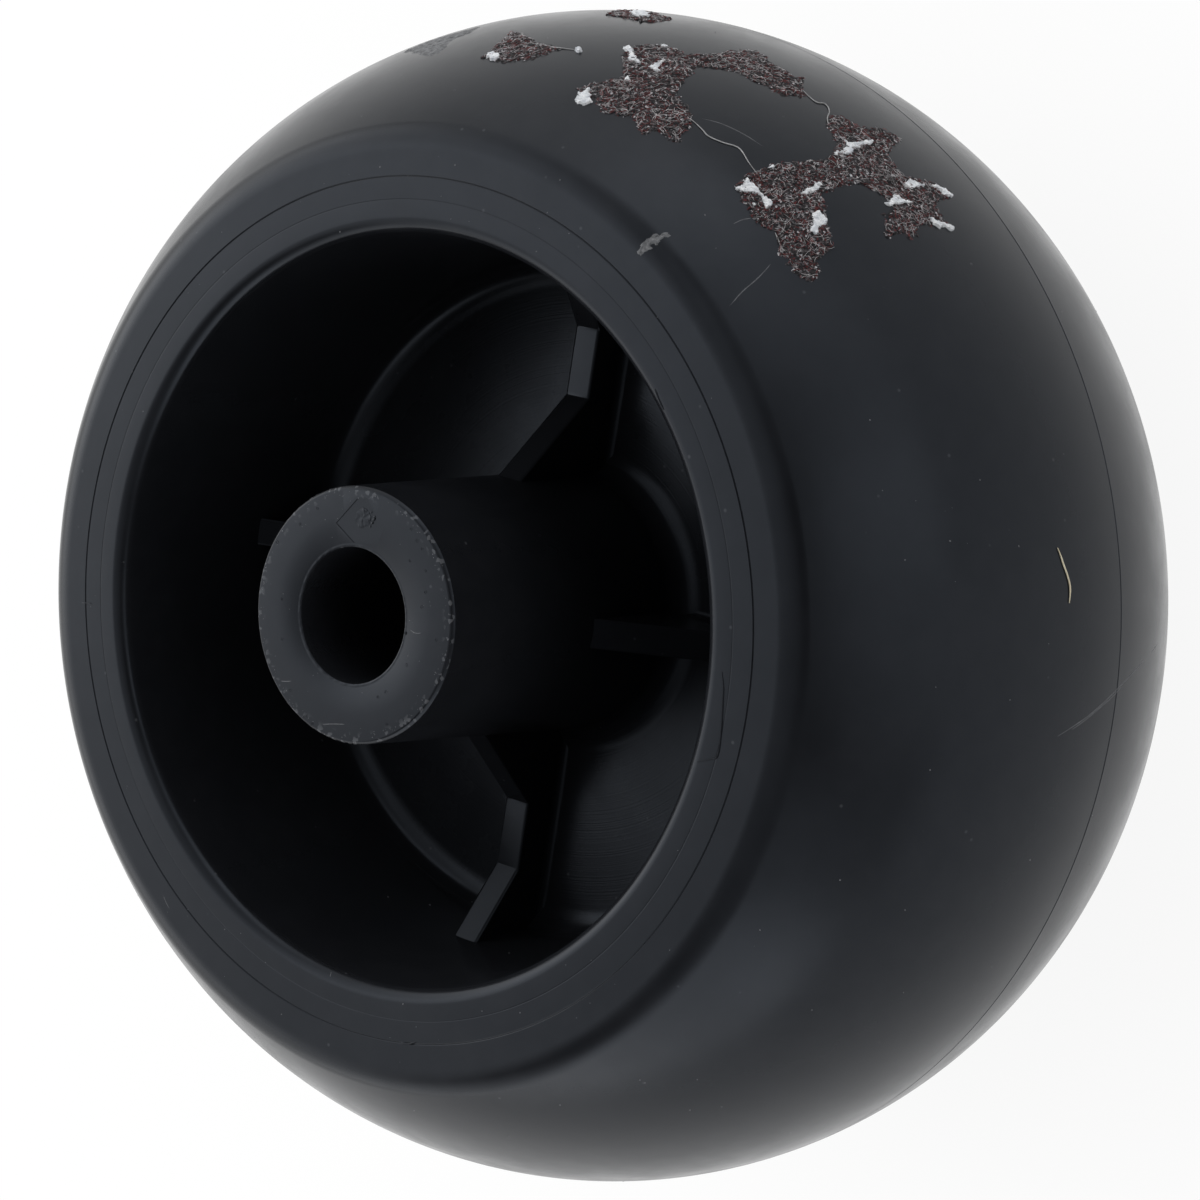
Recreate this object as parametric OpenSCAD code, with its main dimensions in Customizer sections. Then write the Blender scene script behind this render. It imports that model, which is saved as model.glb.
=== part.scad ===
// Gauge wheel of a ride-on mower's deck, moulded in one piece of solid plastic.
// The bore runs along Z, and the origin is the middle of the bore.
// The wheel stands on one end of its hub, with the open side of the photograph facing +Z.
// Both sides are alike about the parting plane at Z = 0.

/* [Tread] */
// Diameter at the parting line, the wheel's biggest
tread_d = 127; // [115:0.5:140]
// Width across the two flat side rings
ring_w = 69.8; // [60:0.2:78]
// Radius of the crown, seen in section
crown_r = 46.7; // [42:0.1:60]
// Rounding between the crown and a side ring
shoulder_r = 4.3; // [1:0.1:8]

/* [Cavity] */
// Diameter of the cavity at its mouth
mouth_d = 76.2; // [60:0.2:84]
// Rounding of the lip between the side ring and the cavity
lip_r = 1.5; // [0.5:0.1:3]
// Draft of the cavity's wall, in degrees
wall_draft = 2.4; // [0:0.1:5]
// Rounding where the wall meets the web
wall_fillet = 3; // [1:0.1:6]

/* [Web] */
// Thickness of the web between the hub and the wall
web_t = 8; // [4:0.2:14]

/* [Hub] */
// Diameter of the hub at its end faces
hub_d = 25.7; // [20:0.1:34]
// Length of the hub over its end faces
hub_len = 81.6; // [70:0.2:96]
// Draft of the hub's outside, in degrees
hub_draft = 1.9; // [0:0.1:4]
// Chamfer round each end face
hub_chamfer = 0.4; // [0.1:0.1:1.5]
// Rounding where the hub meets the web
hub_fillet = 3; // [1:0.1:6]
// Diameter of the axle's bore
bore_d = 13.5; // [8:0.1:18]

/* [Ribs] */
// Number of ribs in each cavity
rib_count = 4; // [0:1:8]
// Thickness of a rib
rib_t = 3.2; // [1.6:0.1:6]
// Height above the parting plane at which a rib meets the hub
rib_hub_h = 18.7; // [12:0.1:30]
// Radius at which the rib's sloping edge becomes level
rib_flat_in = 22.3; // [18:0.1:27]
// Radius at which the level edge ends
rib_flat_out = 29.7; // [27.5:0.1:34]
// Height of the level edge above the parting plane
rib_flat_h = 9; // [7.5:0.1:12]
// Height above the parting plane at which a rib meets the cavity's wall
rib_wall_h = 14.7; // [9:0.1:25]

/* [Hidden] */
tread_r = tread_d / 2;
ring_h = ring_w / 2;
mouth_r = mouth_d / 2;
web_h = web_t / 2;
hub_r = hub_d / 2;
hub_h = hub_len / 2;

// centre of the crown's arc, and of the shoulder's arc that touches it and the side ring
crown_x = tread_r - crown_r;
shoulder_y = ring_h - shoulder_r;
shoulder_x = crown_x + sqrt(pow(crown_r - shoulder_r, 2) - pow(shoulder_y, 2));
shoulder_angle = atan2(shoulder_y, shoulder_x - crown_x);

// radius of the cavity's wall, and of the hub's outside, at a height above the parting plane
function wall_at(h) = mouth_r - (ring_h - h) * tan(wall_draft);
function hub_at(h) = hub_r + (hub_h - h) * tan(hub_draft);

// points of an arc, both ends included
function arc(x, y, r, from, to, steps) =
    [for (i = [0:steps]) let (a = from + (to - from) * i / steps) [x + r * cos(a), y + r * sin(a)]];

bite = 2;           // how far a rib runs into the hub and into the wall
cut_over = 1;       // how far the bore's cutter runs past each end face
plastic = [0.11, 0.115, 0.125];

$fn = 96;

// the crown's arc from the parting plane to the shoulder, and the shoulder's arc to the side ring
function crown_points() = arc(crown_x, 0, crown_r, 0, shoulder_angle, 20);
function shoulder_points() = arc(shoulder_x, shoulder_y, shoulder_r, shoulder_angle, 90, 6);

// the lip's rounding, from the side ring into the cavity
function lip_points() =
    arc(mouth_r + lip_r, ring_h - lip_r, lip_r, 90, 180 + wall_draft, 6);

// the rounding at the foot of the cavity's wall
function wall_foot_points() =
    let (y = web_h + wall_fillet, x = wall_at(y) - wall_fillet)
    arc(x, y, wall_fillet, 0, -90, 6);

// the rounding at the foot of the hub
function hub_foot_points() =
    let (y = web_h + hub_fillet, x = hub_at(y) + hub_fillet)
    arc(x, y, hub_fillet, 270, 180, 6);

// the hub's end with its chamfer
function hub_end_points() = [
    [hub_r, hub_h - hub_chamfer],
    [hub_r - hub_chamfer, hub_h],
    [0, hub_h]
];

// one side of the wheel in section, from the parting plane's rim to the axis
function side_points() = concat(
    crown_points(),
    [for (i = [1:6]) shoulder_points()[i]],
    lip_points(),
    wall_foot_points(),
    hub_foot_points(),
    hub_end_points()
);

// the turned body, both sides alike
module turned_body() {
    rotate_extrude($fn = 180)
        for (side = [0, 1])
            mirror([0, side])
                polygon(concat([[0, 0]], side_points()));
}

// one rib's outline in the plane of the axis, both sides alike
module rib_outline() {
    slope = (rib_hub_h - rib_flat_h) / (rib_flat_in - hub_at(rib_hub_h));
    climb = (rib_wall_h - rib_flat_h) / (wall_at(rib_wall_h) - rib_flat_out);
    inner_x = hub_at(rib_hub_h) - bite;
    outer_x = wall_at(rib_wall_h) + bite;
    edge = [
        [inner_x, rib_hub_h + bite * slope],
        [rib_flat_in, rib_flat_h],
        [rib_flat_out, rib_flat_h],
        [outer_x, rib_wall_h + bite * climb]
    ];
    polygon(concat(edge, [for (i = [3:-1:0]) [edge[i][0], -edge[i][1]]]));
}

// the ribs stand upright, evenly spaced, the first one along +X
module ribs() {
    for (i = [0:1:rib_count - 1])
        rotate([0, 0, i * 360 / rib_count])
            translate([0, rib_t / 2, 0])
                rotate([90, 0, 0])
                    linear_extrude(height = rib_t)
                        rib_outline();
}

module axle_bore() {
    cylinder(h = hub_len + 2 * cut_over, d = bore_d, center = true);
}

module wheel() {
    color(plastic)
        difference() {
            union() {
                turned_body();
                ribs();
            }
            axle_bore();
        }
}

wheel();
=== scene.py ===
import math
import random

import bmesh
import bpy
from mathutils import Matrix, Vector, noise
from mathutils.bvhtree import BVHTree


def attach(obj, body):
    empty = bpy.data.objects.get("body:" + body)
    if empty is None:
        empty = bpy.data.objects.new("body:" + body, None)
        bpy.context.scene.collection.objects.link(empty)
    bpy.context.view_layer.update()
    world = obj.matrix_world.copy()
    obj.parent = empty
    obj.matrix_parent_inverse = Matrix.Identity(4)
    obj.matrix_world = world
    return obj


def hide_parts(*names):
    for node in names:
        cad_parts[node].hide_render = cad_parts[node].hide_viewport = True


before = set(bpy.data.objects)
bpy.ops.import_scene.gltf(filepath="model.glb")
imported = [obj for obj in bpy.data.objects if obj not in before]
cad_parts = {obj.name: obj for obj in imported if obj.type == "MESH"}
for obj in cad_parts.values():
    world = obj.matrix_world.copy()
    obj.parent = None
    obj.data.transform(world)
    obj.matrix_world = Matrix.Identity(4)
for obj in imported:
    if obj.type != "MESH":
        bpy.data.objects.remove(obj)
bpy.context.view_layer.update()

MM = 0.001

# the wheel's sizes, the same as in the part's source
TREAD_R = 63.5
RING_H = 34.9
CROWN_R = 46.7
SHOULDER_R = 4.3
MOUTH_R = 38.1
LIP_R = 1.5
WALL_DRAFT = math.radians(2.4)
WALL_FILLET = 3.0
WEB_H = 4.0
HUB_R = 12.85
HUB_H = 40.8
HUB_DRAFT = math.radians(1.9)
HUB_CHAMFER = 0.4
HUB_FILLET = 3.0
BORE_R = 6.75
RIB_T = 3.2
RIB_HUB_H = 18.7
RIB_FLAT_IN = 22.3
RIB_FLAT_OUT = 29.7
RIB_FLAT_H = 9.0
RIB_WALL_H = 14.7

CROWN_X = TREAD_R - CROWN_R
SHOULDER_Y = RING_H - SHOULDER_R
SHOULDER_X = CROWN_X + math.sqrt((CROWN_R - SHOULDER_R) ** 2 - SHOULDER_Y ** 2)
SHOULDER_ANGLE = math.atan2(SHOULDER_Y, SHOULDER_X - CROWN_X)

# hairlines that the mould left: radius or height, half width and depth
PARTING_LINE = (0.0, 0.11, 0.07)
WITNESS_LINE = (43.6, 0.10, 0.07)
INNER_LINE = (41.3, 0.09, 0.03)

# the photograph's camera
PHOTO_SIZE = 1200
FOCAL_PIXELS = 2948.8
WHEEL_PIXEL = (614, 595)
CAMERA_PLACE = Vector((185.443, 53.142, 261.213)) * MM
CAMERA_RIGHT = Vector((0.792704, 0.14835, -0.591281))
CAMERA_UP = Vector((-0.216703, 0.97516, -0.04586))
CAMERA_BACK = CAMERA_RIGHT.cross(CAMERA_UP)

# the plastic's tone, gloss and sheen
DARK_PLASTIC = (0.0075, 0.0082, 0.0098)
MIDDLE_PLASTIC = (0.0095, 0.0103, 0.0123)
LIGHT_PLASTIC = (0.0125, 0.0133, 0.0155)
PALE_FLECK = (0.09, 0.093, 0.1)
SATIN = 0.22
PLASTIC_SHINE = 0.18
SHINE_TINT = (0.74, 0.84, 1.0, 1.0)


def wall_at(h):
    return MOUTH_R - (RING_H - h) * math.tan(WALL_DRAFT)


def hub_at(h):
    return HUB_R + (HUB_H - h) * math.tan(HUB_DRAFT)


def crown_at(h):
    return CROWN_X + math.sqrt(CROWN_R ** 2 - h ** 2)


def arc(x, y, r, start, end, steps):
    """Points of an arc, both ends included. Angles are in radians."""
    turns = [start + (end - start) * i / steps for i in range(steps + 1)]
    return [(x + r * math.cos(a), y + r * math.sin(a)) for a in turns]


# Profile of one side

def crown_profile():
    """From the parting line to the shoulder."""
    half, depth = PARTING_LINE[1:]
    points = [(TREAD_R - depth, 0.0), (crown_at(half), half)]
    start = math.asin(half / CROWN_R)
    points += arc(CROWN_X, 0, CROWN_R, start, SHOULDER_ANGLE, 28)[1:]
    return points


def ring_profile():
    """The shoulder's rounding and the flat ring with its two hairlines."""
    points = arc(SHOULDER_X, SHOULDER_Y, SHOULDER_R, SHOULDER_ANGLE, math.pi / 2, 9)[1:]
    for middle, half, depth in (WITNESS_LINE, INNER_LINE):
        points += [(middle + half, RING_H), (middle, RING_H - depth), (middle - half, RING_H)]
    return points


def cavity_profile():
    """The lip, the wall, the web and the hub's outside."""
    points = arc(MOUTH_R + LIP_R, RING_H - LIP_R, LIP_R, math.pi / 2, math.pi + WALL_DRAFT, 7)
    points += [(wall_at(h), h) for h in (26.0, 18.0, 12.0)]
    foot = WEB_H + WALL_FILLET
    points += arc(wall_at(foot) - WALL_FILLET, foot, WALL_FILLET, 0, -math.pi / 2, 7)
    points += [(r, WEB_H) for r in (28.0, 23.0)]
    foot = WEB_H + HUB_FILLET
    points += arc(hub_at(foot) + HUB_FILLET, foot, HUB_FILLET, 1.5 * math.pi, math.pi, 7)
    points += [(hub_at(h), h) for h in (14.0, 22.0, 31.0)]
    return points


def hub_end_profile():
    """The hub's chamfered end and the bore down to the middle."""
    edge = 0.25
    return [
        (HUB_R, HUB_H - HUB_CHAMFER),
        (HUB_R - HUB_CHAMFER * 0.45, HUB_H - HUB_CHAMFER * 0.3),
        (HUB_R - HUB_CHAMFER, HUB_H),
        (10.0, HUB_H),
        (BORE_R + edge, HUB_H),
        (BORE_R + edge * 0.3, HUB_H - edge * 0.3),
        (BORE_R, HUB_H - edge),
        (BORE_R, 30.0),
        (BORE_R, 15.0),
    ]


def wheel_profile():
    """The closed section of the wheel, from the parting line round the front, the bore and the back."""
    front = crown_profile() + ring_profile() + cavity_profile() + hub_end_profile()
    back = [(r, -h) for r, h in front[1:]]
    return front + [(BORE_R, 0.0)] + back[::-1]


# Meshes

def new_object(name, points, faces):
    mesh = bpy.data.meshes.new(name)
    mesh.from_pydata([tuple(MM * c for c in p) for p in points], [], faces)
    mesh.update()
    made = bpy.data.objects.new(name, mesh)
    bpy.context.scene.collection.objects.link(made)
    return made


def turned_wheel(turns):
    section = wheel_profile()
    count = len(section)
    points = []
    for i in range(turns):
        c = math.cos(2 * math.pi * i / turns)
        s = math.sin(2 * math.pi * i / turns)
        points += [(r * c, r * s, h) for r, h in section]
    faces = []
    for i in range(turns):
        a = i * count
        b = (i + 1) % turns * count
        for j in range(count):
            k = (j + 1) % count
            faces.append((a + j, b + j, b + k, a + k))
    return new_object("wheel_body", points, faces)


def rib_top(x):
    """Height of a rib's top edge at the distance x from the axis."""
    hub_x = hub_at(RIB_HUB_H)
    wall_x = wall_at(RIB_WALL_H)
    if x < RIB_FLAT_IN:
        return RIB_FLAT_H + (RIB_FLAT_IN - x) * (RIB_HUB_H - RIB_FLAT_H) / (RIB_FLAT_IN - hub_x)
    if x > RIB_FLAT_OUT:
        return RIB_FLAT_H + (x - RIB_FLAT_OUT) * (RIB_WALL_H - RIB_FLAT_H) / (wall_x - RIB_FLAT_OUT)
    return RIB_FLAT_H


def rib_section(top):
    """Half of a rib's cross section, from its foot to its rounded top edge: (half width, height)."""
    foot = 0.9
    edge = 0.35
    half = RIB_T / 2
    points = [(half + foot, WEB_H - 0.5), (half + foot, WEB_H - 0.01)]
    points += [
        (half + foot - foot * math.sin(a), WEB_H + foot - foot * math.cos(a))
        for a in (math.pi / 10 * i for i in range(1, 6))
    ]
    points += arc(half - edge, top - edge, edge, 0, math.pi / 2, 3)
    return points


def rib(angle, side):
    """One rib as a closed body that runs a little way into the hub and the wall."""
    stations = [11.6, 13.0, 16.0, 19.0, 22.0, RIB_FLAT_IN, 22.6]
    stations += [26.0, 29.4, RIB_FLAT_OUT, 30.0, 33.0, 36.0, 38.2]
    rings = []
    for x in stations:
        half = rib_section(rib_top(x))
        rings.append([(x, y, z) for y, z in half] + [(x, -y, z) for y, z in half[::-1]])
    count = len(rings[0])
    c = math.cos(angle)
    s = math.sin(angle)
    points = [(x * c - y * s, x * s + y * c, z * side) for ring in rings for x, y, z in ring]
    faces = []
    for i in range(len(rings) - 1):
        for j in range(count):
            k = (j + 1) % count
            faces.append((i * count + j, i * count + k, (i + 1) * count + k, (i + 1) * count + j))
    faces.append(tuple(range(count))[::-1])
    faces.append(tuple(range((len(rings) - 1) * count, len(rings) * count)))
    if side < 0:
        faces = [f[::-1] for f in faces]
    return new_object("rib", points, faces)


def outward(target):
    """Turns the faces of a closed mesh outwards."""
    bm = bmesh.new()
    bm.from_mesh(target.data)
    bmesh.ops.recalc_face_normals(bm, faces=bm.faces)
    bm.to_mesh(target.data)
    bm.free()


def combine(target, others, operation):
    """Joins the others to the target, or cuts them out of it, and leaves one closed mesh."""
    for other in others:
        outward(other)
        step = target.modifiers.new("step", "BOOLEAN")
        step.operation = operation
        step.solver = "EXACT"
        step.object = other
    shown = target.evaluated_get(bpy.context.evaluated_depsgraph_get())
    joined_mesh = bpy.data.meshes.new_from_object(shown)
    target.modifiers.clear()
    target.data = joined_mesh
    for other in others:
        bpy.data.objects.remove(other)


def shade(target, sharp_degrees):
    """Smooth shading with an edge wherever two faces meet at more than the angle."""
    limit = math.radians(sharp_degrees)
    bm = bmesh.new()
    bm.from_mesh(target.data)
    for face in bm.faces:
        face.smooth = True
    for edge in bm.edges:
        edge.smooth = len(edge.link_faces) == 2 and edge.calc_face_angle() < limit
    bm.to_mesh(target.data)
    bm.free()
    flat = target.modifiers.new("flat_faces", "WEIGHTED_NORMAL")
    flat.keep_sharp = True
    flat.weight = 60


def dress(target, material):
    """Gives a piece its material and fixes it to the wheel's body."""
    target.data.materials.clear()
    target.data.materials.append(material)
    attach(target, "root")


def spot(pixel, lift=0.0):
    """The place in millimetres, and the surface's direction, that the photograph shows at a pixel."""
    place, normal = photo_hit(*pixel)
    return place / MM + normal * lift, normal


# Materials

def new_material(name):
    material = bpy.data.materials.new(name)
    material.use_nodes = True
    tree = material.node_tree
    tree.nodes.clear()
    return material, tree


def node(tree, kind, inputs=None, **settings):
    """A new node with its settings, and each input either linked to a socket or set to a value."""
    made = tree.nodes.new(kind)
    for name, value in settings.items():
        setattr(made, name, value)
    for name, value in (inputs or {}).items():
        if isinstance(value, bpy.types.NodeSocket):
            tree.links.new(value, made.inputs[name])
        else:
            made.inputs[name].default_value = value
    return made


def maths(tree, operation, first, second=0.0):
    return node(tree, "ShaderNodeMath", {0: first, 1: second}, operation=operation).outputs[0]


def ramp(tree, value, stops, style="LINEAR"):
    """A colour ramp through the stops, each a position and a colour."""
    made = node(tree, "ShaderNodeValToRGB", {"Fac": value})
    made.color_ramp.interpolation = style
    while len(made.color_ramp.elements) < len(stops):
        made.color_ramp.elements.new(1.0)
    for element, (position, colour) in zip(made.color_ramp.elements, stops):
        element.position = position
        element.color = (*colour, 1)
    return made.outputs["Color"]


def remap(tree, value, low, high, to_low=0.0, to_high=1.0):
    inputs = {"Value": value, "From Min": low, "From Max": high, "To Min": to_low, "To Max": to_high}
    return node(tree, "ShaderNodeMapRange", inputs, interpolation_type="SMOOTHSTEP").outputs[0]


def clouds(tree, place, scale, detail=4.0, rough=0.5):
    inputs = {"Vector": place, "Scale": scale, "Detail": detail, "Roughness": rough}
    return node(tree, "ShaderNodeTexNoise", inputs).outputs["Fac"]


def finish_material(tree, colour, roughness, bump, depth, **constants):
    """The shader and its output. Bump is a height socket, and depth its size in metres."""
    raised = node(tree, "ShaderNodeBump", {"Height": bump, "Strength": 1.0, "Distance": depth})
    inputs = {"Base Color": colour, "Roughness": roughness, "Normal": raised.outputs[0]}
    shader = node(tree, "ShaderNodeBsdfPrincipled", inputs)
    for name, value in constants.items():
        shader.inputs[name.replace("_", " ")].default_value = value
    node(tree, "ShaderNodeOutputMaterial", {"Surface": shader.outputs[0]})


def black_plastic():
    """Satin moulded plastic: cloudy tone, turned lines on the flat faces and rubbed spots."""
    material, tree = new_material("black_plastic")
    place = node(tree, "ShaderNodeTexCoord").outputs["Object"]
    split = node(tree, "ShaderNodeSeparateXYZ", {0: place})
    x, y, z = split.outputs
    flat = node(tree, "ShaderNodeCombineXYZ", {0: x, 1: y})
    radius = node(tree, "ShaderNodeVectorMath", {0: flat.outputs[0]}, operation="LENGTH").outputs["Value"]
    height = maths(tree, "ABSOLUTE", z)

    # where on the wheel: web, side ring and hub's end
    outside_hub = remap(tree, radius, 0.0145, 0.0155)
    cavity = maths(tree, "MULTIPLY", remap(tree, radius, 0.0372, 0.0362), outside_hub)
    web = maths(tree, "MULTIPLY", remap(tree, height, 0.0046, 0.0041), cavity)
    ring = remap(tree, height, 0.0345, 0.0348)
    hub_end = remap(tree, height, 0.0403, 0.0406)
    hub_edge = maths(tree, "MULTIPLY", remap(tree, radius, 0.0114, 0.0127), hub_end)
    bore = remap(tree, radius, 0.0072, 0.0069)

    # tone: broad clouds, smaller blotches and rubbed flecks
    broad = clouds(tree, place, 28.0, 3.0)
    small = clouds(tree, place, 310.0, 3.0, 0.6)
    tone = maths(tree, "ADD", maths(tree, "MULTIPLY", broad, 0.6), maths(tree, "MULTIPLY", small, 0.4))
    colour = ramp(tree, tone, [(0.32, DARK_PLASTIC), (0.5, MIDDLE_PLASTIC), (0.68, LIGHT_PLASTIC)])
    cells = node(tree, "ShaderNodeTexVoronoi", {"Vector": place, "Scale": 420.0, "Randomness": 1.0})
    pick = node(tree, "ShaderNodeSeparateColor", {0: cells.outputs["Color"]}).outputs[0]
    close = remap(tree, cells.outputs["Distance"], 0.10, 0.03)
    fleck = maths(tree, "MULTIPLY", close, maths(tree, "GREATER_THAN", pick, 0.8))
    crowd = node(tree, "ShaderNodeTexVoronoi", {"Vector": place, "Scale": 2600.0, "Randomness": 1.0})
    crowd_pick = node(tree, "ShaderNodeSeparateColor", {0: crowd.outputs["Color"]}).outputs[1]
    rubbed = maths(tree, "MULTIPLY", maths(tree, "GREATER_THAN", crowd_pick, 0.86), hub_edge)
    pale = maths(tree, "ADD", maths(tree, "MULTIPLY", fleck, 0.35), maths(tree, "MULTIPLY", rubbed, 0.7))
    colour = node(
        tree, "ShaderNodeMix", {0: pale, 6: colour, 7: (*PALE_FLECK, 1)}, data_type="RGBA", clamp_factor=True
    ).outputs[2]

    # height: grain everywhere, turned lines on the web and ring, grit in the bore
    lines = node(
        tree, "ShaderNodeTexNoise", {"W": radius, "Scale": 5200.0, "Detail": 3.0}, noise_dimensions="1D"
    ).outputs["Fac"]
    turned = maths(tree, "ADD", maths(tree, "MULTIPLY", web, 1.0), maths(tree, "MULTIPLY", ring, 0.18))
    grit = maths(tree, "MULTIPLY", clouds(tree, place, 1500.0, 1.0, 0.7), maths(tree, "MULTIPLY", bore, 6.0))
    height_sum = maths(tree, "MULTIPLY", clouds(tree, place, 3800.0, 1.0, 0.6), 0.22)
    for extra in (
        maths(tree, "MULTIPLY", lines, turned),
        grit,
        maths(tree, "MULTIPLY", clouds(tree, place, 650.0, 1.0), 0.45),
    ):
        height_sum = maths(tree, "ADD", height_sum, extra)
    rough = remap(tree, clouds(tree, place, 90.0, 4.0, 0.65), 0.3, 0.7, SATIN - 0.04, SATIN + 0.05)
    rough = maths(tree, "ADD", rough, maths(tree, "MULTIPLY", web, 0.06))
    shine = {"Specular_IOR_Level": PLASTIC_SHINE, "Specular_Tint": SHINE_TINT}
    finish_material(tree, colour, rough, height_sum, 0.000012, **shine)
    return material


def residue():
    """Torn label fibre soaked in glue: dark, with red, brown and grey bits."""
    material, tree = new_material("label_residue")
    place = node(tree, "ShaderNodeTexCoord").outputs["Object"]
    waves = node(tree, "ShaderNodeTexNoise", {"Vector": place, "Scale": 1900.0, "Detail": 3.0})
    warp = waves.outputs["Color"]
    reach = (0.0004, 0.0004, 0.0004)
    moved = node(tree, "ShaderNodeVectorMath", {0: warp, 1: reach}, operation="MULTIPLY").outputs[0]
    warped = node(tree, "ShaderNodeVectorMath", {0: place, 1: moved}, operation="ADD").outputs[0]
    cells = node(tree, "ShaderNodeTexVoronoi", {"Vector": warped, "Scale": 5200.0})
    pick = node(tree, "ShaderNodeSeparateColor", {0: cells.outputs["Color"]}).outputs[0]
    colour = ramp(
        tree,
        pick,
        [
            (0.0, (0.008, 0.008, 0.010)),
            (0.45, (0.022, 0.018, 0.020)),
            (0.6, (0.07, 0.012, 0.014)),
            (0.72, (0.06, 0.052, 0.056)),
            (0.86, (0.16, 0.155, 0.165)),
            (0.95, (0.42, 0.41, 0.43)),
        ],
        "CONSTANT",
    )
    bump = maths(tree, "ADD", clouds(tree, place, 5200.0, 3.0), cells.outputs["Distance"])
    finish_material(tree, colour, 0.75, bump, 0.00009, Specular_IOR_Level=0.3)
    return material


def mottled(name, dark, light, scale, roughness, depth, shine=0.4):
    """A plain material of one colour with a cloudy tone and a rough surface."""
    material, tree = new_material(name)
    place = node(tree, "ShaderNodeTexCoord").outputs["Object"]
    colour = ramp(tree, clouds(tree, place, scale, 5.0, 0.65), [(0.3, dark), (0.7, light)])
    bump = clouds(tree, place, scale * 3, 4.0, 0.6)
    finish_material(tree, colour, roughness, bump, depth, Specular_IOR_Level=shine)
    return material


# Wear and residue, placed by the photograph's pixels

# torn label residue on the tread, outlined
TORN = [
    # left patch with its arm to the right
    [
        (621, 55), (634, 46), (658, 45), (679, 50), (688, 56), (697, 54), (720, 54), (736, 50), (758, 52),
        (772, 64), (793, 76), (806, 78), (802, 90), (809, 98), (796, 97), (781, 96), (770, 89), (755, 82),
        (731, 71), (698, 67), (686, 79), (676, 95), (689, 108), (693, 128), (684, 134), (682, 143),
        (669, 141), (655, 130), (641, 137), (633, 118), (605, 114), (592, 99), (573, 90), (595, 83),
        (623, 77),
    ],
    # right patch
    [
        (828, 115), (839, 115), (860, 127), (884, 129), (903, 141), (893, 148), (888, 157), (903, 175),
        (935, 184), (956, 196), (934, 202), (942, 218), (954, 228), (920, 226), (911, 241), (903, 235),
        (884, 238), (884, 214), (894, 205), (876, 193), (860, 184), (836, 188), (824, 193), (827, 221),
        (834, 248), (816, 262), (822, 271), (810, 283), (797, 278), (785, 259), (777, 251), (777, 233),
        (753, 223), (747, 208), (733, 187), (746, 175), (777, 163), (804, 161), (827, 160), (837, 144),
        (827, 127),
    ],
    # thin patch at the upper left
    [
        (482, 59), (494, 48), (503, 39), (512, 31), (522, 34), (541, 45), (563, 49), (547, 54), (528, 60),
        (503, 63),
    ],
    # patch at the top edge
    [
        (604, 15), (619, 11), (646, 12), (673, 20), (659, 22), (647, 23), (629, 19),
    ],
]

# a small dry scrape on the shoulder
SCRAPE = [[(636, 252), (645, 241), (656, 234), (669, 231), (669, 237), (655, 245), (641, 256)]]

# a grey smear of old glue at the left of the top edge
SMEAR = [[
    (404, 52), (422, 44), (434, 38), (454, 32), (488, 23), (479, 28),
    (464, 36), (454, 38), (445, 48), (437, 54), (425, 57),
]]

# white paper that is left on the residue
PAPER = [
    [(575, 102), (578, 92), (583, 93), (589, 89), (592, 95), (590, 99), (593, 102), (584, 107)],
    [(622, 48), (632, 48), (636, 55), (640, 64), (633, 62), (626, 60), (629, 55)],
    [(660, 47), (670, 46), (664, 50)],
    [(647, 67), (657, 65), (665, 58), (666, 62), (659, 68), (661, 73), (649, 70)],
    [(624, 81), (628, 78), (632, 82), (629, 83)],
    [
        (842, 142), (854, 144), (872, 140), (870, 145), (852, 150), (851, 154), (839, 155), (836, 159),
        (834, 154), (848, 148),
    ],
    [(764, 168), (773, 166), (776, 169), (770, 172)],
    [
        (733, 187), (743, 185), (745, 179), (755, 184), (761, 193), (773, 205), (766, 210), (758, 195),
        (749, 193), (738, 192),
    ],
    [(747, 198), (758, 207), (755, 208)],
    [(797, 194), (809, 188), (816, 183), (824, 186), (818, 192), (807, 196)],
    [(810, 217), (819, 210), (822, 215), (828, 221), (818, 230), (815, 238), (809, 232), (813, 224)],
    [(846, 172), (852, 179), (848, 178)],
    [(902, 185), (908, 180), (924, 186), (912, 190)],
    [(924, 183), (935, 186), (945, 190), (954, 197), (948, 198), (935, 190)],
    [(884, 203), (891, 199), (896, 193), (901, 200), (916, 204), (900, 205), (887, 206)],
    [(927, 218), (935, 221), (953, 227), (954, 231), (935, 226)],
    [(803, 278), (808, 278), (806, 283)],
    [(787, 244), (792, 245), (789, 249)],
    [(486, 58), (489, 54), (494, 53), (500, 55), (500, 58), (494, 61)],
    [(574, 50), (581, 48), (583, 52), (576, 53)],
    [(630, 13), (640, 12), (649, 14), (650, 18), (640, 18), (631, 16)],
]

# loose threads that trail from the residue, and a bristle on the tread
THREADS = [
    [
        (690, 119), (697, 125), (703, 131), (709, 137), (723, 143), (736, 147), (742, 152), (748, 162),
        (756, 173),
    ],
    [
        (803, 91), (810, 98), (817, 103), (824, 104), (828, 108), (829, 113), (827, 119), (829, 126),
        (833, 129),
    ],
    [(775, 233), (778, 240), (782, 249), (786, 252)],
    [(523, 43), (540, 45), (556, 48), (574, 50)],
]
BRISTLE = [
    (1056.8, 548), (1060, 556), (1062.9, 565), (1066.5, 575), (1069, 585), (1069.3, 594), (1068.5, 603),
]

# fine scratches on the tread
SCRATCHES = [
    [
        (1046.6, 743), (1066, 731), (1086.7, 717), (1102, 704), (1117, 689), (1136, 669), (1153.9, 649),
        (1163, 632),
    ],
    [(1060, 737), (1080, 724), (1096, 711), (1112, 697), (1124, 684)],
    [(728, 308), (742, 292), (759, 277), (775, 259)],
    [(700, 118), (722, 124), (745, 135), (768, 150)],
    [(733, 224), (742, 220), (752, 218)],
]


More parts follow.
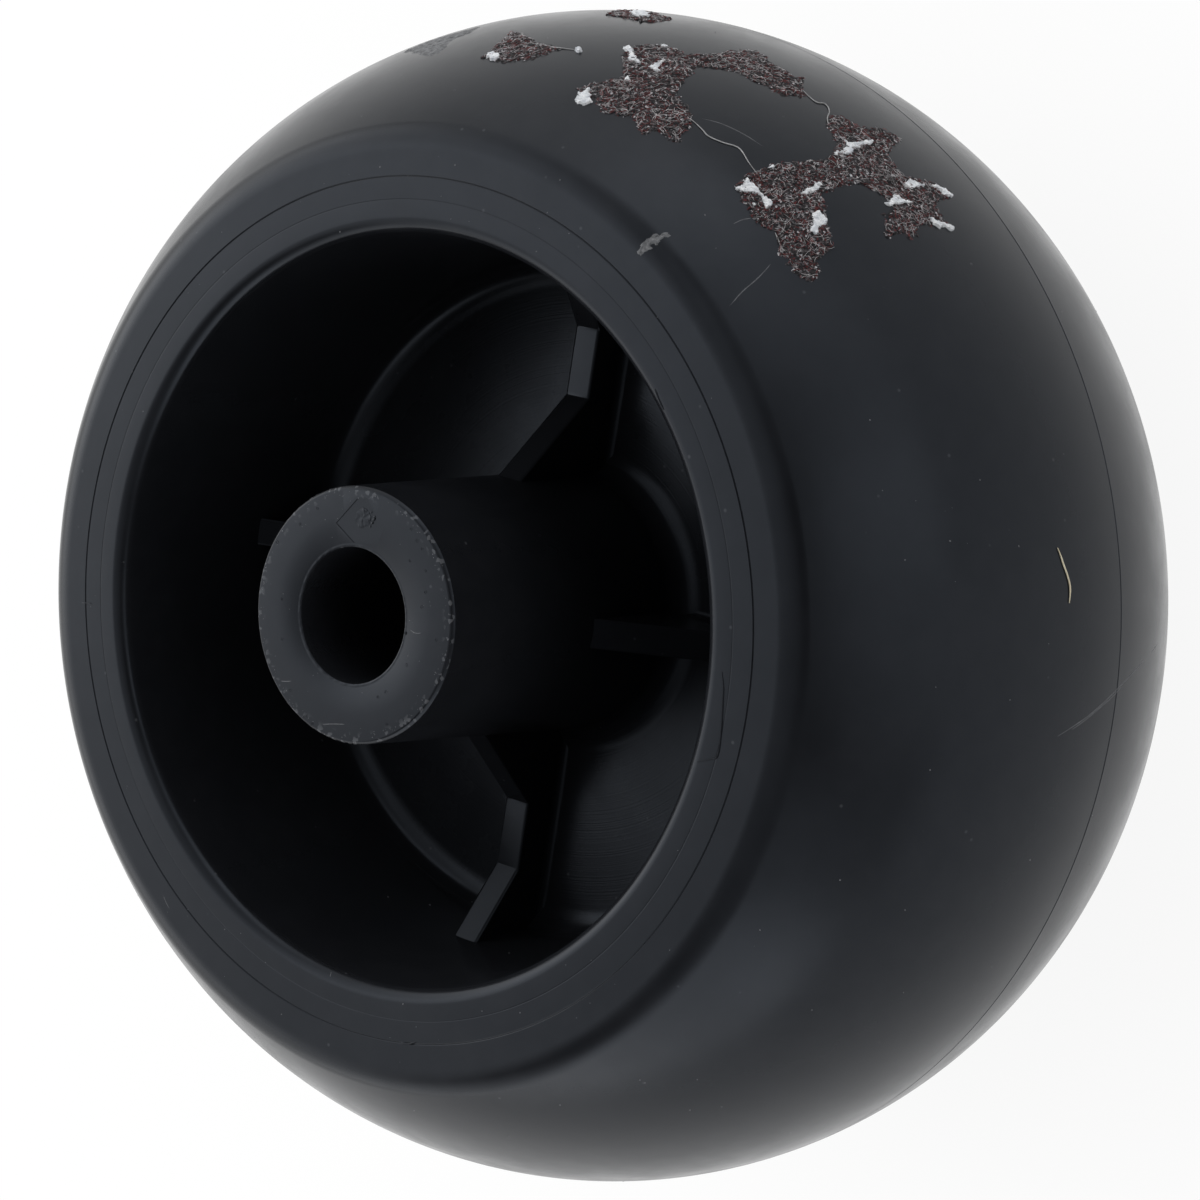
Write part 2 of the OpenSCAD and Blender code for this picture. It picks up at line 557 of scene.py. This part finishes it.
def photo_hit(px, py):
    """The place on the wheel that the photograph shows at a pixel, or a little inwards of it."""
    for _ in range(60):
        aside = (px - PHOTO_SIZE / 2) * CAMERA_RIGHT + (PHOTO_SIZE / 2 - py) * CAMERA_UP
        aim = aside / FOCAL_PIXELS - CAMERA_BACK
        place, normal, _, _ = SKIN.ray_cast(CAMERA_PLACE, aim.normalized())
        if place:
            return place, normal
        px += (WHEEL_PIXEL[0] - px) * 0.003
        py += (WHEEL_PIXEL[1] - py) * 0.003
    raise ValueError("no wheel at this pixel")


def tread_spot(px, py):
    """Where a pixel of the tread is: millimetres round it, and along its section from the parting line."""
    place = photo_hit(px, py)[0] / MM
    radius = math.hypot(place.x, place.y)
    round_tread = math.atan2(place.y, place.x) * TREAD_R
    turn = math.atan2(place.z, radius - CROWN_X)
    if abs(turn) <= SHOULDER_ANGLE:
        return round_tread, turn * CROWN_R
    bend = math.atan2(abs(place.z) - SHOULDER_Y, radius - SHOULDER_X) - SHOULDER_ANGLE
    return round_tread, math.copysign(SHOULDER_ANGLE * CROWN_R + bend * SHOULDER_R, place.z)


def tread_point(u, s, lift):
    """The point that lies lift above the tread, u round it and s along its section."""
    edge = SHOULDER_ANGLE * CROWN_R
    if abs(s) <= edge:
        turn = s / CROWN_R
        radius = CROWN_X + (CROWN_R + lift) * math.cos(turn)
        height = (CROWN_R + lift) * math.sin(turn)
    else:
        turn = SHOULDER_ANGLE + (abs(s) - edge) / SHOULDER_R
        radius = SHOULDER_X + (SHOULDER_R + lift) * math.cos(turn)
        height = math.copysign(SHOULDER_Y + (SHOULDER_R + lift) * math.sin(turn), s)
    angle = u / TREAD_R
    return radius * math.cos(angle), radius * math.sin(angle), height


def inside(u, s, outline):
    """True if the spot is inside the closed outline."""
    found = False
    for (u0, s0), (u1, s1) in zip(outline, outline[1:] + outline[:1]):
        if (s0 > s) != (s1 > s) and u < u0 + (s - s0) * (u1 - u0) / (s1 - s0):
            found = not found
    return found


def ragged(u, s, size, reach, seed):
    """A small wander of a spot, so that an outline gets torn edges."""
    at = Vector((u / size, s / size, seed))
    return reach * noise.noise(at), reach * noise.noise(at + Vector((31, 17, 5)))


def crust(name, outlines, cell, reach, low, bump, seed):
    """A closed thin crust on the tread inside the outlines, with torn edges that run into the tread."""
    points = []
    faces = []
    for number, pixels in enumerate(outlines):
        outline = [tread_spot(*pixel) for pixel in pixels]
        u_low = min(u for u, s in outline) - cell
        s_low = min(s for u, s in outline) - cell
        columns = int((max(u for u, s in outline) + cell - u_low) / cell) + 1
        rows = int((max(s for u, s in outline) + cell - s_low) / cell) + 1
        filled = set()
        for i in range(columns):
            for j in range(rows):
                u = u_low + (i + 0.5) * cell
                s = s_low + (j + 0.5) * cell
                du, ds = ragged(u, s, 0.8, reach, seed + number)
                if inside(u + du, s + ds, outline):
                    filled.add((i, j))
        index = {}
        corners = {(i + a, j + b) for i, j in filled for a in (0, 1) for b in (0, 1)}
        for i, j in sorted(corners):
            rim = not all((i - a, j - b) in filled for a in (0, 1) for b in (0, 1))
            u = u_low + i * cell
            s = s_low + j * cell
            du, ds = ragged(u, s, cell * 0.7, cell * 0.75, seed + 3)
            rough = noise.fractal(Vector((u * 2.1, s * 2.1, seed)), 0.8, 2.1, 4)
            lift = -0.015 if rim else low + bump * max(0.0, 0.5 + rough)
            index[i, j] = len(points)
            points.append(tread_point(u + du, s + ds, lift))
            points.append(tread_point(u + du, s + ds, -0.12))
        for i, j in sorted(filled):
            a, b, c, d = (index[i, j], index[i + 1, j], index[i + 1, j + 1], index[i, j + 1])
            faces.append((a, b, c, d))
            faces.append((d + 1, c + 1, b + 1, a + 1))
            sides = (((i, j - 1), a, b), ((i + 1, j), b, c), ((i, j + 1), c, d), ((i - 1, j), d, a))
            for near, p, q in sides:
                if near not in filled:
                    faces.append((q, p, p + 1, q + 1))
    return new_object(name, points, faces)


def tube(line, radii, sides):
    """The points and faces of a closed tube along the line."""
    points = []
    faces = []
    for i, place in enumerate(line):
        ahead = (line[min(i + 1, len(line) - 1)] - line[max(i - 1, 0)]).normalized()
        across = ahead.cross(Vector((place.x, place.y, 0.3 * place.z))).normalized()
        upward = across.cross(ahead)
        for k in range(sides):
            turn = 2 * math.pi * k / sides
            points.append(place + radii[i] * (math.cos(turn) * across + math.sin(turn) * upward))
    for i in range(len(line) - 1):
        for k in range(sides):
            n = (k + 1) % sides
            faces.append((i * sides + k, i * sides + n, (i + 1) * sides + n, (i + 1) * sides + k))
    faces.append(tuple(range(sides))[::-1])
    faces.append(tuple(range((len(line) - 1) * sides, len(line) * sides)))
    return points, faces


def joined(name, shapes):
    """One object of many point and face lists."""
    points = []
    faces = []
    for some_points, some_faces in shapes:
        start = len(points)
        points += some_points
        faces += [tuple(start + k for k in face) for face in some_faces]
    return new_object(name, points, faces)


def fibres(name, outlines, per_area, lengths, radius, seed):
    """Short torn fibres that lie in the residue and end at its edge."""
    chance = random.Random(seed)
    shapes = []
    for pixels in outlines:
        outline = [tread_spot(*pixel) for pixel in pixels]
        u_low, u_high = min(u for u, s in outline), max(u for u, s in outline)
        s_low, s_high = min(s for u, s in outline), max(s for u, s in outline)
        for _ in range(int((u_high - u_low) * (s_high - s_low) * per_area)):
            u = chance.uniform(u_low, u_high)
            s = chance.uniform(s_low, s_high)
            step = chance.uniform(*lengths) / 4
            heading = chance.uniform(0, 2 * math.pi)
            bend = chance.uniform(-0.7, 0.7)
            rise = chance.uniform(0.06, 0.22)
            line = []
            while len(line) < 5 and inside(u, s, outline):
                lift = rise * (0.6 + 0.4 * math.sin(math.pi * len(line) / 4))
                line.append(Vector(tread_point(u, s, lift)))
                u += math.cos(heading) * step
                s += math.sin(heading) * step
                heading += bend
            if len(line) > 2:
                widths = [radius * share for share in (0.5, 1.0, 1.1, 0.9, 0.5)]
                shapes.append(tube(line, widths, 3))
    return joined(name, shapes)


def trail(pixels, radius, lift, sides=6, steps=6):
    """A smooth tube along a line of pixels, at a height above the surface that shows there."""
    spots = []
    for pixel in pixels:
        place, normal = photo_hit(*pixel)
        spots.append(place / MM + normal * lift)
    line = []
    last = len(spots) - 1
    for i in range(last):
        a, b, c, d = (spots[max(i - 1, 0)], spots[i], spots[i + 1], spots[min(i + 2, last)])
        for k in range(steps):
            t = k / steps
            square = (2 * a - 5 * b + 4 * c - d) * t ** 2
            cube = (3 * b - a - 3 * c + d) * t ** 3
            line.append(0.5 * (2 * b + (c - a) * t + square + cube))
    line.append(spots[-1])
    count = len(line) - 1
    radii = [radius * (0.45 + 0.55 * min(1.0, 4 * min(i, count - i) / count)) for i in range(count + 1)]
    return tube(line, radii, sides)


def lump(place, normal, size, seed):
    """An irregular speck that sits on the surface: its points and faces."""
    chance = random.Random(seed)
    side = normal.orthogonal().normalized()
    other = normal.cross(side)
    turn = chance.uniform(0, 6.28)
    long = size * chance.uniform(0.9, 1.6)
    points = [place + normal * size * 0.55]
    for ring_lift, share in ((0.35, 0.62), (-0.15, 1.0)):
        for k in range(7):
            angle = turn + 2 * math.pi * k / 7
            reach = share * chance.uniform(0.7, 1.1)
            points.append(
                place
                + normal * size * ring_lift
                + side * (math.cos(angle) * long * reach)
                + other * (math.sin(angle) * size * reach)
            )
    points.append(place - normal * size * 0.3)
    faces = []
    for k in range(7):
        n = (k + 1) % 7
        faces.append((0, 1 + k, 1 + n))
        faces.append((1 + k, 8 + k, 8 + n, 1 + n))
        faces.append((15, 8 + n, 8 + k))
    return points, faces


# Small marks on the front, placed by the photograph's pixels

# the gate's shallow recess on the hub's end, its round scar and the torn nub beside it
GATE_RECESS = [(336, 523), (357, 499), (367, 499), (376, 517), (379, 541), (354, 543)]
GATE_SCAR = (362.7, 518.0)
GATE_SCAR_R = 1.05
GATE_NUB = [(373.9, 519.6), (372.2, 523.0), (374.6, 516.8), (371.2, 512.5), (370.0, 526.5)]

# dents with a raised rim on the hub's end
HUB_DENTS = [
    (317.5, 508.4), (300, 524), (277.5, 542), (411, 529), (417, 541), (422, 549), (410, 561), (425.6, 571),
    (425.6, 592), (422, 607), (405, 633), (406.6, 665), (282, 599), (282, 639), (386, 692), (387, 724),
    (422, 709), (305, 716), (312, 724), (403, 640), (378, 697), (290, 690), (402, 636), (436, 640),
]

# fine lines on the hub's end and on the ring, where the plastic was scratched
FRONT_SCRATCHES = [
    [(321, 724.4), (334, 724), (346, 724.4)],
    [(280, 681), (286, 681.4), (292, 681)],
    [(409, 629), (415, 633), (422, 633)],
    [(332, 964), (331, 973), (329, 982)],
    [(110, 565), (124, 562), (140, 565)],
    [(163, 895), (166, 902), (170, 910)],
]

# thin flash that was left standing at the lip and on the hairline
FLASH = [
    [(722, 672), (723.5, 686), (723, 700), (721.5, 728), (718, 755), (711, 759), (697, 762)],
    [(655, 389), (659, 399), (664, 410)],
    [(401, 1042), (408, 1044), (416, 1042)],
    [(82, 603), (87, 603), (92, 604)],
]

# pale crumbs on the ring, the wall and the tread
CRUMBS = [
    (403, 1004), (482, 1011), (950, 541), (380, 167), (340, 232), (472, 902), (509, 953), (430, 905),
    (388, 897), (560, 1105), (640, 1080), (812, 1010), (905, 910), (690, 1110), (560, 180), (455, 165),
    (705, 215), (1010, 700), (980, 480), (870, 420), (930, 770), (840, 880), (1030, 860), (905, 560),
    (760, 930),
]


def gate_cutter():
    """A thin block with the outline of the gate's recess, to be cut out of the hub's end."""
    flat = [photo_hit(*pixel)[0] / MM for pixel in GATE_RECESS]
    count = len(flat)
    points = [(p.x, p.y, HUB_H - 0.06) for p in flat] + [(p.x, p.y, HUB_H + 1) for p in flat]
    faces = [(k, (k + 1) % count, count + (k + 1) % count, count + k) for k in range(count)]
    faces.append(tuple(range(count))[::-1])
    faces.append(tuple(range(count, 2 * count)))
    return new_object("gate_cutter", points, faces)


def scar(place, normal, radius, rise, seed):
    """A low round scar with a rough top."""
    side = normal.orthogonal().normalized()
    other = normal.cross(side)
    turns = 28
    points = [place + normal * rise]
    for share, lift in ((0.35, 1.0), (0.7, 0.9), (0.93, 0.8), (1.0, -1.0)):
        for k in range(turns):
            angle = 2 * math.pi * k / turns
            rough = noise.noise(Vector((3 * share * math.cos(angle), 3 * share * math.sin(angle), seed)))
            reach = radius * share * (1 + 0.06 * rough)
            points.append(
                place
                + normal * rise * (lift + 0.9 * rough * (lift > 0))
                + side * math.cos(angle) * reach
                + other * math.sin(angle) * reach
            )
    faces = [(0, 1 + k, 1 + (k + 1) % turns) for k in range(turns)]
    for ring in range(3):
        for k in range(turns):
            n = (k + 1) % turns
            a = 1 + ring * turns
            b = a + turns
            faces.append((a + k, b + k, b + n, a + n))
    faces.append(tuple(range(1 + 3 * turns, 1 + 4 * turns))[::-1])
    return points, faces


def dent(place, normal, radius, seed):
    """The raised rim of a small dent: an uneven ring with a hollow middle."""
    chance = random.Random(seed)
    side = normal.orthogonal().normalized()
    other = normal.cross(side)
    turns = 9
    stretch = chance.uniform(0.7, 1.3)
    points = []
    for k in range(turns):
        angle = 2 * math.pi * k / turns
        spoke = side * math.cos(angle) * stretch + other * math.sin(angle)
        wide = radius * chance.uniform(0.8, 1.15)
        points.append(place + spoke * wide * 0.45 - normal * 0.03)
        points.append(place + spoke * wide * 0.8 + normal * radius * chance.uniform(0.1, 0.35))
        points.append(place + spoke * wide * 1.15 - normal * 0.03)
    faces = []
    for k in range(turns):
        a = 3 * k
        b = 3 * ((k + 1) % turns)
        for i in range(3):
            n = (i + 1) % 3
            faces.append((a + i, b + i, b + n, a + n))
    return points, faces


def crumbs_round(radius_low, radius_high, height, side, count, size, seed):
    """Specks strewn over a flat ring of the wheel."""
    chance = random.Random(seed)
    shapes = []
    for k in range(count):
        angle = chance.uniform(0, 2 * math.pi)
        radius = chance.uniform(radius_low, radius_high)
        place = Vector((radius * math.cos(angle), radius * math.sin(angle), side * height))
        shapes.append(lump(place, Vector((0, 0, side)), size * chance.uniform(0.5, 1.2), seed + k))
    return shapes


def crumbs_on_tread(count, size, seed):
    chance = random.Random(seed)
    shapes = []
    for k in range(count):
        u = chance.uniform(0, 2 * math.pi * TREAD_R)
        s = chance.uniform(-36, 36)
        place = Vector(tread_point(u, s, 0))
        normal = (Vector(tread_point(u, s, 1)) - place).normalized()
        shapes.append(lump(place, normal, size * chance.uniform(0.4, 1.2), seed + k))
    return shapes


# Stage

def make_camera():
    camera = bpy.data.objects.new("camera", bpy.data.cameras.new("camera"))
    bpy.context.scene.collection.objects.link(camera)
    camera.data.sensor_width = 36.0
    camera.data.lens = FOCAL_PIXELS * 36.0 / PHOTO_SIZE
    camera.data.clip_start = 0.01
    camera.data.clip_end = 20.0
    turn = Matrix((CAMERA_RIGHT, CAMERA_UP, CAMERA_BACK)).transposed()
    camera.matrix_world = Matrix.Translation(CAMERA_PLACE) @ turn.to_4x4()
    bpy.context.scene.camera = camera


# half the floor's size, its colour, how white it shows and how much of that hides its shading
FLOOR_HALF = 3000
FLOOR_TONE = 0.8
FLOOR_GLOW = 1.05
GLOW_SHARE = 0.85


def make_floor():
    size = FLOOR_HALF
    floor = new_object(
        "floor",
        [(-size, -size, -HUB_H), (size, -size, -HUB_H), (size, size, -HUB_H), (-size, size, -HUB_H)],
        [(0, 1, 2, 3)],
    )
    material, tree = new_material("floor_white")
    ray = node(tree, "ShaderNodeLightPath")
    sight = maths(tree, "MAXIMUM", ray.outputs["Is Camera Ray"], ray.outputs["Is Glossy Ray"])
    sight = maths(tree, "MAXIMUM", sight, ray.outputs["Is Transmission Ray"])
    matt = node(tree, "ShaderNodeBsdfDiffuse", {"Color": (FLOOR_TONE, FLOOR_TONE, FLOOR_TONE, 1)})
    glow = node(tree, "ShaderNodeEmission", {"Color": (1, 1, 1, 1), "Strength": FLOOR_GLOW})
    share = maths(tree, "MULTIPLY", sight, GLOW_SHARE)
    mixed = node(tree, "ShaderNodeMixShader", {0: share, 1: matt.outputs[0], 2: glow.outputs[0]})
    node(tree, "ShaderNodeOutputMaterial", {"Surface": mixed.outputs[0]})
    floor.data.materials.append(material)


# the angles from a lamp's middle at which it starts to fade and is gone
LAMP_CORE = math.radians(12)
LAMP_EDGE = math.radians(38)

# soft lamps in the studio's dark dome: azimuth from +X, elevation and brightness
SOFT_BOXES = [
    (16, 5, 1.12), (46, 5, 0.63), (76, 5, 0.78), (106, 5, 1.25), (166, 5, 0.87),
    (226, 5, 0.83), (256, 5, 0.98), (286, 5, 1.7), (316, 5, 0.6), (88, 33, 0.48),
    (160, 33, 1.65), (196, 33, 1.45), (304, 33, 0.36), (136, 62, 0.42), (16, 90, 0.42),
]


def make_world():
    world = bpy.data.worlds.new("studio")
    world.use_nodes = True
    tree = world.node_tree
    tree.nodes.clear()
    way = node(tree, "ShaderNodeTexCoord").outputs["Generated"]
    inner = math.cos(LAMP_CORE)
    outer = math.cos(LAMP_EDGE)
    light = 0.0
    for azimuth, elevation, brightness in SOFT_BOXES:
        a = math.radians(azimuth)
        e = math.radians(elevation)
        middle = (math.cos(a) * math.cos(e), math.sin(a) * math.cos(e), math.sin(e))
        cosine = node(tree, "ShaderNodeVectorMath", {0: way, 1: middle}, operation="DOT_PRODUCT")
        near = cosine.outputs["Value"]
        light = maths(tree, "ADD", remap(tree, near, outer, inner, 0.0, brightness), light)
    ray = node(tree, "ShaderNodeLightPath")
    soft = node(tree, "ShaderNodeBackground", {"Color": (1, 1, 1, 1), "Strength": light})
    white = node(tree, "ShaderNodeBackground", {"Color": (1, 1, 1, 1), "Strength": 1.0})
    seen = {0: ray.outputs["Is Camera Ray"], 1: soft.outputs[0], 2: white.outputs[0]}
    mixed = node(tree, "ShaderNodeMixShader", seen)
    node(tree, "ShaderNodeOutputWorld", {"Surface": mixed.outputs[0]})
    bpy.context.scene.world = world


# The wheel
plastic = black_plastic()
body = turned_wheel(360)
outward(body)
quarter = math.pi / 2
combine(body, [rib(i * quarter, side) for side in (1, -1) for i in range(4)], "UNION")
SKIN = BVHTree.FromObject(body, bpy.context.evaluated_depsgraph_get())
combine(body, [gate_cutter()], "DIFFERENCE")
shade(body, 30)
body.name = "wheel_moulding"
dress(body, plastic)
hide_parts("wheel")

# Wear on the tread
old_glue = mottled("glue_smear", (0.03, 0.032, 0.036), (0.16, 0.165, 0.175), 2400.0, 0.5, 0.00005)
pale_fibre = mottled("pale_fibre", (0.22, 0.21, 0.215), (0.62, 0.6, 0.61), 900.0, 0.8, 0.00001)
red_fibre = mottled("red_fibre", (0.05, 0.01, 0.011), (0.2, 0.035, 0.035), 900.0, 0.8, 0.00001)
dark_fibre = mottled("dark_fibre", (0.012, 0.011, 0.012), (0.06, 0.05, 0.052), 900.0, 0.8, 0.00001)
paper = mottled("torn_paper", (0.5, 0.53, 0.58), (0.88, 0.89, 0.9), 1500.0, 0.85, 0.00006)
thread = mottled("thread", (0.2, 0.2, 0.2), (0.45, 0.45, 0.46), 500.0, 0.7, 0.00001)
straw = mottled("bristle", (0.55, 0.47, 0.3), (0.8, 0.74, 0.58), 500.0, 0.5, 0.00001)
scuffed = mottled("scuffed_plastic", (0.05, 0.052, 0.058), (0.12, 0.125, 0.135), 1300.0, 0.55, 0.00002)
crumb = mottled("plastic_crumb", (0.06, 0.063, 0.07), (0.2, 0.205, 0.22), 1300.0, 0.4, 0.00002)

dress(crust("label_residue", TORN, 0.22, 0.6, 0.01, 0.16, 11), residue())
dress(crust("glue_smear", SMEAR, 0.3, 0.5, 0.01, 0.08, 23), old_glue)
dress(crust("shoulder_scrape", SCRAPE, 0.16, 0.5, 0.0, 0.08, 29), old_glue)
dress(crust("torn_paper", PAPER, 0.12, 0.35, 0.16, 0.16, 37), paper)
dress(fibres("pale_fibres", TORN, 4.5, (0.4, 1.6), 0.022, 41), pale_fibre)
dress(fibres("red_fibres", TORN, 2.6, (0.4, 1.3), 0.026, 43), red_fibre)
dress(fibres("dark_fibres", TORN, 2.0, (0.4, 1.6), 0.035, 47), dark_fibre)
dress(fibres("paper_fibres", PAPER, 14.0, (0.4, 1.4), 0.022, 53), paper)
dress(joined("threads", [trail(line, 0.06, 0.07) for line in THREADS]), thread)
dress(joined("bristle", [trail(BRISTLE, 0.085, 0.1)]), straw)
dress(joined("tread_scratches", [trail(line, 0.07, -0.035) for line in SCRATCHES]), scuffed)

# Small marks on the front
hub_marks = [dent(*spot(pixel), 0.17, 60 + k) for k, pixel in enumerate(HUB_DENTS)]
hub_marks.append(scar(*spot(GATE_SCAR, -0.05), GATE_SCAR_R, 0.05, 71))
hub_marks += [lump(*spot(pixel, -0.03), 0.2 - 0.02 * k, 80 + k) for k, pixel in enumerate(GATE_NUB)]
dress(joined("hub_end_marks", hub_marks), plastic)
dress(joined("front_scratches", [trail(line, 0.05, -0.03) for line in FRONT_SCRATCHES]), scuffed)
dress(joined("flash", [trail(line, 0.09, 0.0) for line in FLASH]), plastic)
crumbs = [lump(*spot(pixel), 0.09, 100 + k) for k, pixel in enumerate(CRUMBS)]
for side in (1, -1):
    crumbs += crumbs_round(11.8, 12.4, HUB_H, side, 90, 0.045, 200 + side)
    crumbs += crumbs_round(7.1, 12.3, HUB_H, side, 40, 0.04, 400 + side)
    crumbs += crumbs_round(39.8, 46.0, RING_H, side, 45, 0.055, 600 + side)
crumbs += crumbs_on_tread(150, 0.07, 900)
dress(joined("crumbs", crumbs), crumb)

# The stage
make_camera()
make_floor()
make_world()
bpy.context.scene.view_settings.view_transform = "Standard"
